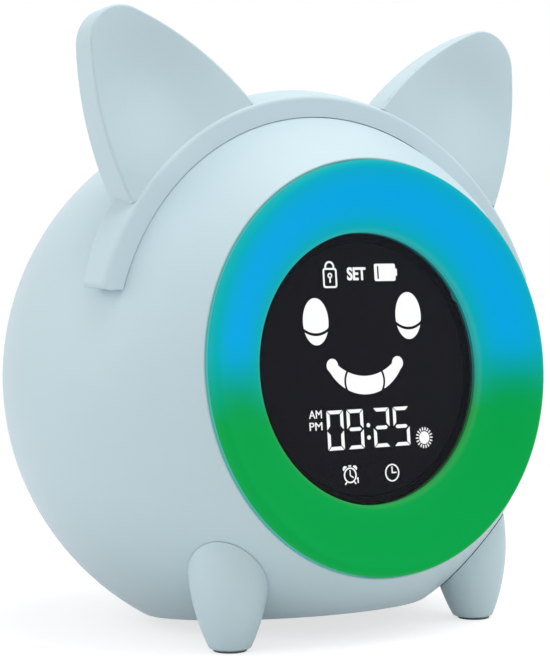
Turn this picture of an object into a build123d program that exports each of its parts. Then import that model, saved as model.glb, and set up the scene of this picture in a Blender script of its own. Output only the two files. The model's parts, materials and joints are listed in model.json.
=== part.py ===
"""Ball-shaped alarm clock with a light ring, two feet and a headband with ears, in millimetres.

Most pieces are drawn in the ball's own frame: origin at the ball's centre, -Y out of the display,
+Z up between the ears. ball_frame then leans the ball back on its feet. Feet and rubber pads are
drawn in the standing frame: the floor is Z = 0 and the ball's centre is above the Z axis.
"""
from build123d import *
from math import atan2, cos, degrees, hypot, radians, sin, sqrt, tan
import os

# Ball
ball_radius = 60.0
wall = 2.4
lean = 4.7                 # degrees that the ball leans back
flat_cut = 8.7             # taken off the bottom of the ball
flat_edge_round = 2.5
panel_cut = 6.5            # taken off the back of the ball
panel_edge_round = 1.2
seat_gap = 0.15            # between mouldings that are screwed together
run_gap = 0.3              # between pieces that move past each other
hole_gap = 0.1             # a screw's or plunger's radius to its hole
cut_past = 1.0             # a cutting bar past the face that it cuts

# Joint line between shell and rear cover
cover_depth = 23.5         # panel forward to the joint line
lip_length = 3.0
lip_thickness = 1.8

# Light ring, a bowl from a rounded rim down to the display
rim_inset = 16.5           # ring's radius less than the ball's
bowl_width = 14.75
rim_rise = 2.83            # rim's corner, before it is rounded, in front of the ball's surface
rim_round = 1.5
bowl_depth = 6.4
ring_wall = 2.0
ring_skirt_length = 7.3    # ball's surface back to the shell's seat for the flange
ring_flange_thickness = 1.8
opening_round = 0.3

# Reflector that clamps the light ring, and its board
ring_screw_depth = 2.2     # how far the ring's screws enter the shell
plate_thickness = 1.6
trough_wall = 1.5
trough_depth = 2.4
board_thickness = 1.6
led_size = 3.5
led_height = 1.6
led_count = 16

# Display
window_thickness = 1.6
window_recess = 0.9
cup_wall = 1.6
cup_flange_width = 4.8
module_depth_behind_window = 0.2
small_screw_count = 3

# Headband and ears
band_thickness = 4.4
band_setback = 16.9        # ring's edge on the ball back to the band's front face
band_width = 7.4
band_end_height = 18.3     # ball centre up to the ends of the band
band_end_slope = 9.0       # degrees that an end rises to the back
band_taper_height = 33.0
band_taper = 6.0           # degrees that the band's back leans forward below that height
band_edge_round = 1.1
nail_notch_depth = 1.0
nail_notch_length = 6.0
ear_angle = 35.0           # ear's axis from straight up
ear_tip_rise = 23.6        # ball's surface out to the centre of the rounded tip
ear_tip_radius = 8.2
ear_base_inset = 3.0       # ball's surface in to the foot of the ear's outline
ear_base_half_width = 19.0
ear_side_radius = 72.0
ear_front_step = 0.4       # ear's front face behind the band's
ear_base_thickness = 7.6
ear_tip_thickness = 5.8
ear_edge_round = 0.6
peg_radius = 1.7
peg_place = 24.0
peg_reach = 6.5            # how far a peg stands into the ball

# Feet
foot_inset = 14.95         # circle of the feet's axes less than the ball's radius
foot_bearing = 46.0        # degrees from straight ahead
foot_lean_back = 3.9
foot_lean_in = 2.0
foot_widest_radius = 8.5
foot_widest_height = 19.0
foot_lower_side_radius = 42.5
foot_upper_side_radius = 60.0
foot_top_height = 27.0
foot_edge_round = 0.9
foot_pad_radius = 3.5
foot_pad_thickness = 1.2
foot_pad_proud = 0.5
foot_boss_radius = 3.2
foot_boss_rise = 6.6       # boss's top above the shell's inside
foot_screw_length = 18.0

# Rubber pads under the back edge of the flat
rear_pad_radius = 4.0
rear_pad_spread = 13.0
rear_pad_inset = 6.1       # edge of the flat forward to the pads' rear edge
rear_pad_proud = 0.6
rear_pad_pocket = 1.0

# Rear panel with buttons, grille and socket
station_circle = 20.5      # buttons and socket stand on this circle
station_count = 7          # six buttons and the socket
button_names = ("light", "up", "alarm", "set", "down", "sound")
button_radius = 4.2
button_proud = 1.2
button_edge_round = 0.7
button_flange_width = 0.9
button_flange_thickness = 1.0
button_stem_radius = 1.9
button_travel = 0.5
panel_flange_gap = 0.05
grille_hole_radius = 0.85
grille_pitch = 2.9
grille_rings = 3

# Switches and main board
board_depth = 9.2          # panel's inside forward to the main board's front face
board_margin = 9.5         # stations' circle out to the board's edge
switch_size = 6.0
switch_height = 3.6
plunger_radius = 1.7
plunger_height = 5.0       # board to plunger top
socket_width = 8.94
socket_height = 3.26
socket_wall = 0.35
full_round_margin = 0.01   # left flat between two rounds that would meet
socket_recess = 0.6
socket_tongue_width = 6.7
socket_tongue_thickness = 0.7
board_post_margin = 5.9    # stations' circle out to the posts' circle
board_post_radius = 2.6

# Chips and lead sockets on the main board: degrees from the top, width, depth, height
ribbon_socket = (0, 14.0, 2.6, 4.0)
main_chip = (80, 7.0, 1.6, 7.0)
battery_socket = (137, 6.0, 3.0, 4.5)
speaker_socket = (223, 6.0, 3.0, 4.5)
ring_socket = (275, 5.0, 1.4, 6.0)
clock_crystal = (319, 3.0, 2.0, 3.0)
chip_edge = 0.2

# Speaker
speaker_radius = 14.4
speaker_flange = 1.2
speaker_clearance = 1.2    # speaker's edge to the board's hole
gasket_thickness = 0.8
basket_depth = 4.2
basket_wall = 0.8
speaker_flange_width = 3.0
cone_thickness = 0.45
cone_clearance = 0.5       # basket's plate to the cone's hub
cone_neck_radius = 5.0
dust_cap_radius = 3.0
dust_cap_rise = 1.4
surround_width = 1.5
surround_dip = 0.2
basket_hole_radius = 2.0
magnet_radius = 8.0
magnet_depth = 4.6
magnet_edge_round = 0.6

# Battery
cell_radius = 9.1
cell_length = 65.0
cell_edge_round = 0.8
pole_length = 1.4
holder_wall = 1.8
holder_base = 2.6
holder_corner = 2.0
contact_thickness = 0.4
contact_room = 1.7         # cell's end to the inside of the cradle's end wall
holder_post_spread = 20.0
holder_post_radius = 3.0
holder_clearance = 2.41    # cradle's lower corners up from the shell's inside
holder_boss_gap = 2.45     # cradle's back wall to the cover's bosses
holder_screw_length = 5.0

# Screws
screw_radius = 1.5
screw_head_radius = 2.7
screw_head_height = 2.0
small_screw_radius = 1.0
small_head_radius = 1.8
small_head_height = 1.4
head_cover = 0.2           # a sunk head's seat below the face, past the head itself
display_screw_length = 5.5
board_screw_length = 6.0
cover_screw_inset = 4.2    # shell's inside at the joint line to the circle of screws
cover_clamp = 4.0          # joint line back to the floor of the screw wells
cover_screw_length = 16.0
cover_boss_radius = 3.8
cover_boss_length = 17.5

# Leads
lead_diameter = 1.6
ribbon_width = 10.0
ribbon_thickness = 0.5
lead_arc_share = 0.45      # of a run's length, taken by the arc at its end

# Worked-out places
reach = 4 * ball_radius    # side of the blocks that cut at a plane
inner_radius = ball_radius - wall
flat_height = ball_radius - flat_cut
flat_radius = sqrt(ball_radius**2 - flat_height**2)
panel_place = ball_radius - panel_cut
panel_inside = panel_place - wall
seam_place = panel_place - cover_depth
rear_pad_reach = flat_radius - rear_pad_inset
centre_height = (flat_height + rear_pad_proud) * cos(radians(lean)) + rear_pad_reach * sin(radians(lean))
ball_to_floor = Location((0, 0, centre_height), (-lean, 0, 0))
lift = Vector(0, sin(radians(lean)), cos(radians(lean)))
rim_radius = ball_radius - rim_inset
bore_radius = rim_radius - bowl_width
opening_radius = rim_radius + seat_gap
rim_surface = sqrt(ball_radius**2 - rim_radius**2)
rim_place = rim_surface + rim_rise
bowl_place = rim_place - bowl_depth
ring_seat_place = rim_surface - ring_skirt_length
window_front = bowl_place - window_recess
window_back = window_front - window_thickness
module_front = window_back - module_depth_behind_window
plate_front = ring_seat_place - ring_flange_thickness
plate_back = plate_front - plate_thickness
cup_back = plate_back - plate_thickness
reflector_radius = sqrt(inner_radius**2 - plate_front**2) - 2 * run_gap
small_screw_circle = bore_radius + cup_flange_width / 2
ring_screw_circle = opening_radius + screw_radius
led_board_inner = bore_radius + cup_wall + trough_wall + small_head_radius
led_board_outer = rim_radius - ring_wall - run_gap - trough_wall - run_gap
led_circle = (led_board_inner + led_board_outer) / 2
band_front = rim_surface - band_setback
ear_base_place = ball_radius - ear_base_inset
ear_tip_place = ball_radius + ear_tip_rise
foot_circle = ball_radius - foot_inset
foot_spread = foot_circle * sin(radians(foot_bearing))
foot_forward = foot_circle * cos(radians(foot_bearing))
foot_boss_height = centre_height - sqrt(inner_radius**2 - foot_circle**2) + foot_boss_rise
board_place = panel_inside - board_depth
board_back = board_place + board_thickness
board_radius = station_circle + board_margin
board_hole_radius = speaker_radius + speaker_clearance
board_post_circle = station_circle + board_post_margin
chip_circle = (board_hole_radius + board_post_circle) / 2 + hole_gap
plunger_top = board_back + plunger_height
speaker_front = panel_inside - gasket_thickness
speaker_flange_front = speaker_front - speaker_flange
magnet_back = speaker_flange_front - basket_depth
cover_screw_circle = sqrt(inner_radius**2 - seam_place**2) - cover_screw_inset
cover_screw_floor = seam_place + cover_clamp
cover_boss_front = seam_place - cover_boss_length
holder_length = cell_length + 2 * (contact_room + holder_wall)
holder_depth = 2 * (cell_radius + seat_gap + holder_wall)
cell_back = cover_boss_front - holder_boss_gap - holder_depth / 2
holder_corner_back = holder_depth / 2 + abs(cell_back) - holder_corner
holder_reach = hypot(holder_length / 2 - holder_corner, holder_corner_back) + holder_corner
holder_place = sqrt(inner_radius**2 - holder_reach**2) - holder_clearance
cell_height = holder_place - holder_base - seat_gap - cell_radius
station_angle = 360 / station_count


def turned(*points):
    """A body turned about the display axis; each point is (radius, place along Y)."""
    return revolve(make_face(Polyline(*points, close=True)), Axis.Y)


def disc(radius, front, back):
    """A plain disc about the display axis between two places along Y."""
    return turned((0, front), (radius, front), (radius, back), (0, back))


def round_back(radius, front, back, x=0.0, z=0.0):
    """A round bar parallel to the display axis at x and z."""
    return Pos(x, (front + back) / 2, z) * Rot(90, 0, 0) * Cylinder(radius, abs(back - front))


def on_circle(circle, angle):
    """X and Z on a circle about the display axis; the angle starts at the top."""
    return circle * sin(radians(angle)), circle * cos(radians(angle))


def below(height):
    """Everything under a level."""
    return Pos(0, 0, height - reach / 2) * Box(reach, reach, reach)


def behind(place):
    """Everything behind a place along Y."""
    return Pos(0, place + reach / 2, 0) * Box(reach, reach, reach)


def screw(radius, head_radius, head_height, length):
    """A cross-head screw: the head's seat is at the origin and the shank points down."""
    head = Cylinder(head_radius, head_height, align=(Align.CENTER, Align.CENTER, Align.MIN))
    head = chamfer(head.edges().sort_by(Axis.Z)[-1], head_height / 4)
    shank = Cylinder(radius, length, align=(Align.CENTER, Align.CENTER, Align.MAX))
    shank = chamfer(shank.edges().sort_by(Axis.Z)[0], radius / 3)
    slot = Pos(0, 0, head_height) * Box(head_radius * 1.2, radius / 2, head_height)
    return head + shank - slot - Rot(0, 0, 90) * slot


def screw_along_y(radius, head_radius, head_height, length, x, place, z, forward):
    """A screw whose shank points forward (-Y) or back (+Y) from its seat."""
    turn = Rot(-90, 0, 0) if forward else Rot(90, 0, 0)
    return Pos(x, place, z) * turn * screw(radius, head_radius, head_height, length)


def lead(route, section):
    """A lead along straight runs joined by arcs as large as the runs allow."""
    points = [Vector(*place) for place in route]
    radii = []
    for before, corner, after in zip(points, points[1:], points[2:]):
        run_in = corner - before
        run_out = after - corner
        turn = run_in.get_angle(run_out)
        radii.append(lead_arc_share * min(run_in.length, run_out.length) / tan(radians(turn / 2)))
    path = FilletPolyline(*points, radius=radii)
    start = Plane(origin=points[0], x_dir=(1, 0, 0), z_dir=points[1] - points[0])
    tube = sweep(start * section, path=path)
    print("lead: length", round(path.length, 1), "arc radii", [round(r, 1) for r in radii],
          "volume over section x length", round(tube.volume / (section.area * path.length), 4))
    return tube


def solid_ball():
    """The outside of the whole ball: flat underside and flat rear panel."""
    ball = Sphere(ball_radius) - behind(panel_place) - below(-flat_height)
    flat_edge = ball.edges().filter_by(GeomType.CIRCLE).sort_by(Axis.Z)[0]
    ball = fillet(flat_edge, flat_edge_round)
    panel_edge = ball.edges().filter_by(GeomType.CIRCLE).sort_by(Axis.Y)[-1]
    return fillet(panel_edge, panel_edge_round)


def ball_cavity():
    """The inside of the wall all round."""
    return Sphere(inner_radius) - behind(panel_inside) - below(-flat_height + wall)


def cover_screw_places():
    return [on_circle(cover_screw_circle, angle) for angle in (45, 135, 225, 315)]


def ring_screw_places():
    return [on_circle(ring_screw_circle, angle) for angle in (20, 110, 200, 290)]


def small_screw_places():
    return [on_circle(small_screw_circle, 360 * k / small_screw_count + 60) for k in range(small_screw_count)]


def board_post_places():
    """Posts above and at both sides, each between two stations."""
    return [on_circle(board_post_circle, station_angle * step) for step in (0, 2, 5)]


def station_places():
    """Places of the six buttons, clockwise from the top right; the socket is below."""
    angles = [180 - station_angle * (k + 1) for k in range(len(button_names))]
    return [on_circle(station_circle, angle) for angle in angles]


def foot_axis(side):
    """A foot's own frame in the standing frame: base centre on the floor, Z up the foot."""
    return Location((side * foot_spread, -foot_forward, 0), (-foot_lean_back, -side * foot_lean_in, 0))


def gusset(angle, grow):
    """A plate that ties a cover boss to the wall, grown all round by a clearance."""
    length = seam_place - cover_boss_front
    height = ball_radius - cover_screw_circle
    middle = Pos(0, seam_place - length / 2, cover_screw_circle + height / 2)
    return Rot(0, angle, 0) * middle * Box(wall + 2 * grow, length + 2 * grow, height)


def front_shell(outside, cavity):
    """The ball moulding with its ring seat, screw bosses, foot bosses and battery posts."""
    seat = turned((opening_radius, -ball_radius), (ball_radius, -ball_radius),
                  (ball_radius, -ring_seat_place), (opening_radius, -ring_seat_place))
    within_wall = Sphere(ball_radius - wall / 2)
    shell = (outside - cavity) + (seat & within_wall)
    shell -= disc(opening_radius, -2 * ball_radius, -plate_front)
    shell -= behind(seam_place)
    rim = shell.edges().filter_by(GeomType.CIRCLE).sort_by(Axis.Y)[0]
    shell = fillet(rim, opening_round)
    bosses = []
    holes = []
    for x, z in cover_screw_places():
        boss = round_back(cover_boss_radius, cover_boss_front, seam_place, x, z)
        bosses.append(boss + (gusset(degrees(atan2(x, z)), 0) & within_wall))
        holes.append(round_back(screw_radius + hole_gap, seam_place - cover_screw_length,
                                seam_place + cut_past, x, z))
    shell += bosses
    post_floor = -flat_height + wall / 2
    post_top = -holder_place
    for side in (-1, 1):
        axis = ball_to_floor.inverse() * foot_axis(side)
        boss = axis * Pos(0, 0, foot_boss_height / 2) * Cylinder(foot_boss_radius, foot_boss_height)
        shell += boss & within_wall
        holes.append(axis * Cylinder(screw_radius + hole_gap, 3 * foot_boss_height))
        post = Pos(side * holder_post_spread, cell_back, (post_floor + post_top) / 2)
        shell += post * Cylinder(holder_post_radius, post_top - post_floor)
        holes.append(post * Pos(0, 0, wall) * Cylinder(small_screw_radius + hole_gap, post_top - post_floor))
        peg_hole = Pos(side * peg_place, -band_front + band_width / 2, ball_radius)
        holes.append(peg_hole * Cylinder(peg_radius + run_gap, ball_radius))
    for x, z in ring_screw_places():
        holes.append(round_back(small_screw_radius + hole_gap, -ring_seat_place - ring_screw_depth - hole_gap,
                                -ring_seat_place + cut_past, x, z))
    for pocket in rear_pad_bars(rear_pad_radius + seat_gap, -cut_past):
        holes.append(ball_to_floor.inverse() * pocket)
    for hole in holes:
        shell -= hole
    return shell


def rear_pad_bars(radius, bottom):
    """Upright bars where the rear pads stand, from a level up to the tops of the pads."""
    back = rear_pad_reach * cos(radians(lean)) - (flat_height + rear_pad_proud) * sin(radians(lean))
    top = centre_height - flat_height * cos(radians(lean)) + rear_pad_pocket - back * sin(radians(lean))
    bar = Pos(0, back - rear_pad_radius, (top + bottom) / 2) * Cylinder(radius, top - bottom)
    return [Pos(side * rear_pad_spread, 0, 0) * bar for side in (-1, 1)]


def rear_cover(outside, cavity):
    """The back of the ball: lip, screw wells, board posts, and the panel's holes."""
    cover = (outside - cavity) & behind(seam_place + seat_gap)
    lip_radius = sqrt(inner_radius**2 - seam_place**2) - seat_gap
    lip = turned((lip_radius, seam_place - lip_length), (lip_radius, seam_place + wall),
                 (lip_radius - lip_thickness, seam_place + wall),
                 (lip_radius - lip_thickness, seam_place - lip_length))
    lip -= below(-flat_height + wall + seat_gap)
    for x, z in cover_screw_places():
        lip -= round_back(cover_boss_radius + run_gap, 0, seam_place + seat_gap, x, z)
        lip -= gusset(degrees(atan2(x, z)), run_gap)
    cover += lip
    holes = []
    for x, z in cover_screw_places():
        boss = round_back(cover_boss_radius, seam_place + seat_gap, ball_radius, x, z)
        cover += boss & Sphere(ball_radius - wall / 2)
        holes.append(round_back(screw_radius + hole_gap, seam_place - cut_past, ball_radius, x, z))
        holes.append(round_back(screw_head_radius + run_gap, cover_screw_floor, ball_radius, x, z))
    for x, z in board_post_places():
        cover += round_back(board_post_radius, board_back, panel_inside + wall / 4, x, z)
        holes.append(round_back(small_screw_radius + hole_gap, board_back - cut_past,
                                panel_inside - cut_past, x, z))
    for x, z in station_places():
        holes.append(round_back(button_radius + run_gap, panel_inside - cut_past,
                                panel_place + cut_past, x, z))
    for x, z in grille_places():
        holes.append(round_back(grille_hole_radius, panel_inside - cut_past,
                                panel_place + cut_past, x, z))
    opening = Box(socket_width + 2 * run_gap, wall * 4, socket_height + 2 * run_gap)
    opening = fillet(opening.edges().filter_by(Axis.Y), socket_height / 2)
    holes.append(Pos(0, panel_place, -station_circle) * opening)
    for hole in holes:
        cover -= hole
    return cover


def grille_places():
    """Centres of the grille's holes: one, then rings of six, twelve and eighteen."""
    places = [(0.0, 0.0)]
    for ring in range(1, grille_rings + 1):
        for k in range(6 * ring):
            places.append(on_circle(grille_pitch * ring, 60 * k / ring))
    return places


def ear_outline():
    """One ear flat: X across the ear and Y out from the ball's centre."""
    base = Vector(ear_base_half_width, ear_base_place)
    tip = Vector(0, ear_tip_place)
    gap = tip - base
    along = (ear_side_radius**2 - (ear_side_radius - ear_tip_radius)**2 + gap.length**2) / (2 * gap.length)
    across = sqrt(ear_side_radius**2 - along**2)
    step = gap.normalized()
    centre = base + step * along + Vector(-step.Y, step.X) * across
    touch = centre + (tip - centre).normalized() * ear_side_radius
    middle = centre + ((base - centre) + (touch - centre)).normalized() * ear_side_radius
    top = tip + Vector(0, ear_tip_radius)
    mirrored = [Vector(-p.X, p.Y) for p in (base, middle, touch)]
    edges = [ThreePointArc(base, middle, touch), ThreePointArc(touch, top, mirrored[2]),
             ThreePointArc(mirrored[2], mirrored[1], mirrored[0]), Line(mirrored[0], base)]
    return make_face(edges)


def ear(side):
    """An ear standing on the band, thinner towards its tip."""
    angle = radians(ear_angle) * side
    front = band_front - ear_front_step
    across = Vector(cos(angle), 0, -sin(angle))
    plane = Plane(origin=(0, -front, 0), x_dir=across, z_dir=(0, -1, 0))
    blank = extrude(plane * ear_outline(), -ear_base_thickness)
    outer = ear_tip_place + ear_tip_radius
    slope = degrees(atan2(ear_base_thickness - ear_tip_thickness, outer - ear_base_place))
    hinge = plane * Location((0, ear_base_place, -ear_base_thickness), (slope, 0, 0))
    blank -= hinge * below(0)
    rounded = blank.edges().group_by(Axis.Y)[0] + blank.edges().group_by(Axis.Y)[-1]
    rounded = [edge for edge in rounded if edge.geom_type == GeomType.CIRCLE]
    return fillet(rounded, ear_edge_round)


def band_blank():
    """The band before the ball is cut from it: a slice of a larger ball with rounded outer edges."""
    outer_radius = ball_radius + band_thickness
    back = band_width - band_front
    blank = Sphere(outer_radius) & behind(-band_front)
    blank -= behind(back)
    blank -= Pos(0, back, band_taper_height) * Rot(-band_taper, 0, 0) * behind(0)
    blank -= Pos(0, -band_front, band_end_height) * Rot(band_end_slope, 0, 0) * below(0)
    outer_edges = [edge for edge in blank.edges() if abs((edge @ 0.5).length - outer_radius) < hole_gap]
    return fillet(outer_edges, band_edge_round)


def ear_headband():
    """Band and ears in one moulding, with two pegs that enter the ball."""
    band = band_blank() + ear(1) + ear(-1)
    band -= Sphere(ball_radius + seat_gap)
    middle = band_width / 2 - band_front
    top = sqrt(ball_radius**2 - peg_place**2 - middle**2) + band_thickness / 2
    notch_reach = Sphere(ball_radius + seat_gap + nail_notch_depth)
    for side in (-1, 1):
        notch = Pos(side * ball_radius, middle + band_width / 2, band_end_height)
        band -= notch * Box(ball_radius, band_width, 2 * nail_notch_length) & notch_reach
        peg = Cylinder(peg_radius, band_thickness / 2 + peg_reach,
                       align=(Align.CENTER, Align.CENTER, Align.MAX))
        peg = chamfer(peg.edges().sort_by(Axis.Z)[0], peg_radius / 3)
        band += Pos(side * peg_place, middle, top) * peg
    return band


def light_ring():
    """The translucent bowl: skirt and flange behind the shell's seat, bore for the window."""
    slope = bowl_depth / bowl_width
    skirt_inner = rim_radius - ring_wall
    under_rim = rim_place - slope * ring_wall - ring_wall * sqrt(1 + slope**2)
    flange_radius = sqrt(inner_radius**2 - ring_seat_place**2) - seat_gap
    ring = turned(
        (bore_radius, -bowl_place), (rim_radius, -rim_place),
        (rim_radius, -ring_seat_place), (flange_radius, -ring_seat_place),
        (flange_radius, -plate_front), (skirt_inner, -plate_front),
        (skirt_inner, -under_rim), (bore_radius + ring_wall, -bowl_place + ring_wall),
        (bore_radius, -bowl_place + ring_wall))
    edges = ring.edges().filter_by(GeomType.CIRCLE).sort_by(Axis.Y)
    ring = fillet(edges[0], rim_round)
    bore_edge = ring.edges().filter_by(GeomType.CIRCLE).sort_by(SortBy.RADIUS)
    bore_edge = [edge for edge in bore_edge if abs(edge.radius - bore_radius) < hole_gap]
    ring = fillet(min(bore_edge, key=lambda edge: edge.center().Y), opening_round)
    for x, z in ring_screw_places():
        ring -= round_back(small_screw_radius + run_gap, -ring_seat_place - hole_gap,
                           -plate_front + cut_past, x, z)
    return ring


def ring_reflector():
    """White trough behind the light ring; its plate clamps the ring and carries the display."""
    outer_wall = rim_radius - ring_wall - run_gap
    inner_wall = bore_radius + cup_wall
    deep = plate_front + trough_depth
    body = turned(
        (bore_radius, -plate_back), (reflector_radius, -plate_back), (reflector_radius, -plate_front),
        (outer_wall, -plate_front), (outer_wall, -deep - ring_wall),
        (outer_wall - trough_wall, -deep - ring_wall), (outer_wall - trough_wall, -plate_front),
        (inner_wall + trough_wall, -plate_front), (inner_wall + trough_wall, -deep),
        (inner_wall, -deep), (inner_wall, -plate_front), (bore_radius, -plate_front))
    for x, z in small_screw_places():
        body += round_back(small_head_radius + run_gap, -deep, -plate_back, x, z)
        body -= round_back(small_screw_radius + hole_gap, -deep + plate_thickness / 2,
                           -plate_back + cut_past, x, z)
    for x, z in ring_screw_places():
        body -= round_back(small_screw_radius + hole_gap, -plate_front - cut_past,
                           -plate_back + cut_past, x, z)
    body -= disc(bore_radius, -ball_radius, 0)
    for side in (-1, 1):
        boss_room = Cylinder(foot_boss_radius + run_gap, 2 * (foot_boss_height + screw_head_height + run_gap))
        body -= ball_to_floor.inverse() * foot_axis(side) * boss_room
    x, z = ring_lead_place()
    return body - round_back(lead_diameter, -plate_front - cut_past, -plate_back + cut_past, x, z)


def ring_lead_place():
    return on_circle(led_circle, 270)


def led_ring_board():
    """Annular board on the reflector's floor."""
    front = -plate_front - board_thickness
    return turned((led_board_inner, -plate_front), (led_board_outer, -plate_front),
                  (led_board_outer, front), (led_board_inner, front))


def ring_leds():
    """The lamps on the ring board, with a rounded lens on each."""
    lamps = []
    for k in range(led_count):
        lamp = Box(led_size, led_size, led_height, align=(Align.CENTER, Align.CENTER, Align.MIN))
        lamp = chamfer(lamp.faces().sort_by(Axis.Z)[-1].edges(), led_height / 5)
        angle = 360 * (k + 0.5) / led_count
        x, z = on_circle(led_circle, angle)
        lamps.append(Pos(x, -plate_front - board_thickness, z) * Rot(0, angle, 0) * Rot(90, 0, 0) * lamp)
    return Compound(children=lamps)


def display_window():
    """Smoked window let into the bore of the light ring."""
    radius = bore_radius - seat_gap
    window = disc(radius, -window_front, -window_back)
    edge = window.edges().filter_by(GeomType.CIRCLE).sort_by(Axis.Y)[0]
    return chamfer(edge, seat_gap)


def display_frame():
    """Black cup that holds the window and the display; its flange screws to the reflector."""
    outer = bore_radius - seat_gap
    frame = turned(
        (outer - cup_wall, -window_back), (outer, -window_back), (outer, -plate_back),
        (outer + cup_flange_width, -plate_back), (outer + cup_flange_width, -cup_back),
        (outer - cup_wall, -cup_back))
    for x, z in small_screw_places():
        frame -= round_back(small_screw_radius + hole_gap, -plate_back - cut_past, -cup_back + cut_past, x, z)
    return frame


def display_module():
    """The segment display: a black block behind the window."""
    radius = bore_radius - seat_gap - cup_wall - seat_gap
    block = disc(radius, -module_front, -cup_back)
    edge = block.edges().filter_by(GeomType.CIRCLE).sort_by(Axis.Y)[0]
    return fillet(edge, run_gap)


def display_board():
    """Round board that closes the cup."""
    board = disc(bore_radius - seat_gap + cup_flange_width, -cup_back, -cup_back + board_thickness)
    for x, z in small_screw_places():
        board -= round_back(small_screw_radius + hole_gap, -cup_back - cut_past,
                            -cup_back + board_thickness + cut_past, x, z)
    return board


def button_cap(x, z):
    """A push button: domed cap, flange behind the panel and a stem on the plunger."""
    cap_back = panel_inside - panel_flange_gap
    cap = round_back(button_radius, cap_back, panel_place + button_proud, x, z)
    top = cap.edges().filter_by(GeomType.CIRCLE).sort_by(Axis.Y)[-1]
    cap = fillet(top, button_edge_round)
    flange_front = cap_back - button_flange_thickness
    cap += round_back(button_radius + run_gap + button_flange_width, flange_front, cap_back, x, z)
    return cap + round_back(button_stem_radius, plunger_top, flange_front, x, z)


def plunger(x, z):
    """A switch's plunger, with room below it for the button's travel."""
    foot = board_back + switch_height - button_travel - run_gap
    return round_back(plunger_radius, foot, plunger_top, x, z)


def switch_bodies():
    """Six push switches on the main board."""
    bodies = []
    for x, z in station_places():
        body = Pos(x, board_back + switch_height / 2, z) * Box(switch_size, switch_height, switch_size)
        depth = button_travel * 2 + run_gap + hole_gap
        body -= round_back(plunger_radius + hole_gap / 2, board_back + switch_height - depth,
                           board_back + switch_height + cut_past, x, z)
        bodies.append(body)
    return Compound(children=bodies)


def main_board():
    """Annular board round the speaker."""
    board = turned((board_hole_radius, board_place), (board_radius, board_place),
                   (board_radius, board_back), (board_hole_radius, board_back))
    for x, z in board_post_places():
        board -= round_back(small_screw_radius + hole_gap, board_place - cut_past,
                            board_back + cut_past, x, z)
    return board


def socket_front(part):
    """The middle of the front face of a chip or lead socket on the main board."""
    x, z = on_circle(chip_circle, part[0])
    return x, board_place - part[2], z


def board_parts():
    """Chips and lead sockets on the front of the main board."""
    parts = []
    for part in (ribbon_socket, main_chip, battery_socket, speaker_socket, ring_socket, clock_crystal):
        x, front, z = socket_front(part)
        block = Pos(x, front, z) * Box(*part[1:], align=(Align.CENTER, Align.MIN, Align.CENTER))
        parts.append(chamfer(block.faces().sort_by(Axis.Y)[0].edges(), chip_edge))
    return Compound(children=parts)


def usb_socket():
    """Upright charging socket: a rounded metal tube with a tongue."""
    back = panel_place - socket_recess
    length = back - board_back
    place = Pos(0, board_back + length / 2, -station_circle)
    tube = Box(socket_width, length, socket_height)
    tube = fillet(tube.edges().filter_by(Axis.Y), socket_height / 2 - full_round_margin)
    room = Box(socket_width - 2 * socket_wall, length, socket_height - 2 * socket_wall)
    room = fillet(room.edges().filter_by(Axis.Y), socket_height / 2 - socket_wall - full_round_margin)
    tube -= Pos(0, socket_wall * 5, 0) * room
    tongue = Box(socket_tongue_width, length - socket_wall * 4, socket_tongue_thickness)
    return place * (tube + Pos(0, -socket_wall * 2, 0) * tongue)


def speaker_frame():
    """Pressed basket: flange, sloping wall and the plate that carries the magnet."""
    inner = speaker_radius - speaker_flange_width
    plate = magnet_back + basket_wall
    return turned(
        (inner, speaker_front), (speaker_radius, speaker_front), (speaker_radius, speaker_flange_front),
        (inner + basket_wall, speaker_flange_front), (magnet_radius, magnet_back),
        (basket_hole_radius, magnet_back), (basket_hole_radius, plate), (magnet_radius - basket_wall, plate),
        (inner, speaker_flange_front + basket_wall))


def speaker_cone():
    """Paper cone with its surround and dust cap under the grille."""
    outer = speaker_radius - speaker_flange_width - hole_gap / 2
    surround = outer - surround_width
    hub = magnet_back + basket_wall + cone_clearance
    return turned(
        (outer, speaker_front), (outer, speaker_front - cone_thickness),
        (surround, speaker_front - cone_thickness - surround_dip), (cone_neck_radius, hub + cone_thickness),
        (dust_cap_radius, hub), (0, hub), (0, hub + dust_cap_rise),
        (dust_cap_radius, hub + 2 * cone_thickness), (cone_neck_radius, hub + 2 * cone_thickness),
        (surround, speaker_front - surround_dip))


def speaker_magnet():
    """Magnet cup glued to the basket's plate."""
    magnet = disc(magnet_radius, magnet_back - magnet_depth, magnet_back)
    edge = magnet.edges().filter_by(GeomType.CIRCLE).sort_by(Axis.Y)[0]
    return fillet(edge, magnet_edge_round)


def speaker_gasket():
    """Foam ring between speaker and panel."""
    inner = speaker_radius - speaker_flange_width + hole_gap
    return turned((inner, speaker_front), (speaker_radius, speaker_front),
                  (speaker_radius, panel_inside), (inner, panel_inside))


def cell_frame():
    return Pos(0, cell_back, -cell_height)


def battery_cell():
    """A round cell lying across the ball, with its raised positive pole."""
    can = Rot(0, 90, 0) * Cylinder(cell_radius, cell_length)
    can = fillet(can.edges().filter_by(GeomType.CIRCLE), cell_edge_round)
    pole = Pos(cell_length / 2, 0, 0) * Rot(0, 90, 0) * Cylinder(cell_radius / 3, pole_length)
    return cell_frame() * (can + pole)


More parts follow.
